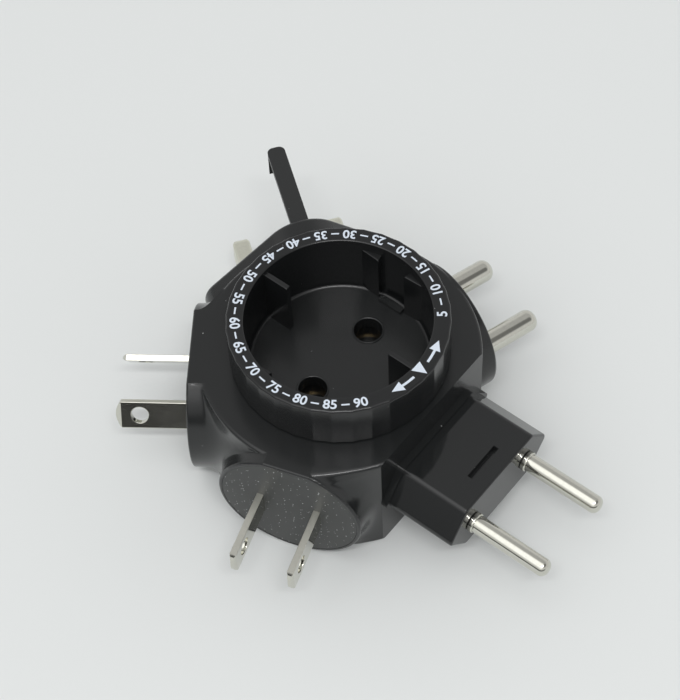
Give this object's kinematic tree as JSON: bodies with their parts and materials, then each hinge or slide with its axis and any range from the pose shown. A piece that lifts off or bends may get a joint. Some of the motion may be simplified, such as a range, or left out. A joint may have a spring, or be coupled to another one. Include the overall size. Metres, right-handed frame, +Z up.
{
  "type": "universal plug adapter",
  "caption": "Star-shaped travel plug adapter: a round recessed socket on a turning dial above a black hub with different wall plugs around its side.",
  "frame": {"origin": "centre of the underside, on the dial's axis", "axes": "+Z up along the dial's axis, +X along the European two-pin plug that the pointer faces"},
  "size_m": [0.1088, 0.0943, 0.043],
  "materials": {
    "body_plastic": "black, satin gloss",
    "plate_plastic": "black, polished",
    "euro_plastic": "black, polished",
    "dial_plastic": "black, gloss, white print",
    "socket_plastic": "black, gloss",
    "nickel_plate": "nickel plated",
    "contact_brass": "stamped",
    "screw_steel": "zinc plated"
  },
  "bodies": {
    "housing": {"main_housing": "body_plastic", "base_cover": "body_plastic", "housing_screws": "screw_steel", "us_plate": "plate_plastic", "us_blade_line": "nickel_plate", "us_blade_neutral": "nickel_plate", "au_plate": "plate_plastic", "au_blade_line": "nickel_plate", "au_blade_neutral": "nickel_plate", "round_plate": "plate_plastic", "round_pin_line": "nickel_plate", "round_pin_neutral": "nickel_plate", "gable_plate": "plate_plastic", "flat_pin_line": "nickel_plate", "flat_pin_neutral": "nickel_plate", "earth_pin": "plate_plastic", "euro_body": "euro_plastic", "euro_pin_line": "nickel_plate", "euro_pin_neutral": "nickel_plate", "strip_us_line": "contact_brass", "strip_us_neutral": "contact_brass", "strip_au_line": "contact_brass", "strip_au_neutral": "contact_brass", "strip_euro_line": "contact_brass", "strip_euro_neutral": "contact_brass", "strip_round_line": "contact_brass", "strip_round_neutral": "contact_brass", "strip_gable_line": "contact_brass", "strip_gable_neutral": "contact_brass"},
    "dial": {"dial": "dial_plastic", "socket_floor": "socket_plastic", "contact_block": "socket_plastic", "clip_line": "contact_brass", "clip_neutral": "contact_brass", "wiper_line": "contact_brass", "wiper_neutral": "contact_brass", "retainer": "socket_plastic", "rotor_screws": "screw_steel"}
  },
  "joints": [
    {"name": "dial_turn", "type": "hinge", "parent": "housing", "child": "dial", "pos_m": [0, 0, 0.0312], "axis": [0, 0, 1], "continuous": true}
  ]
}
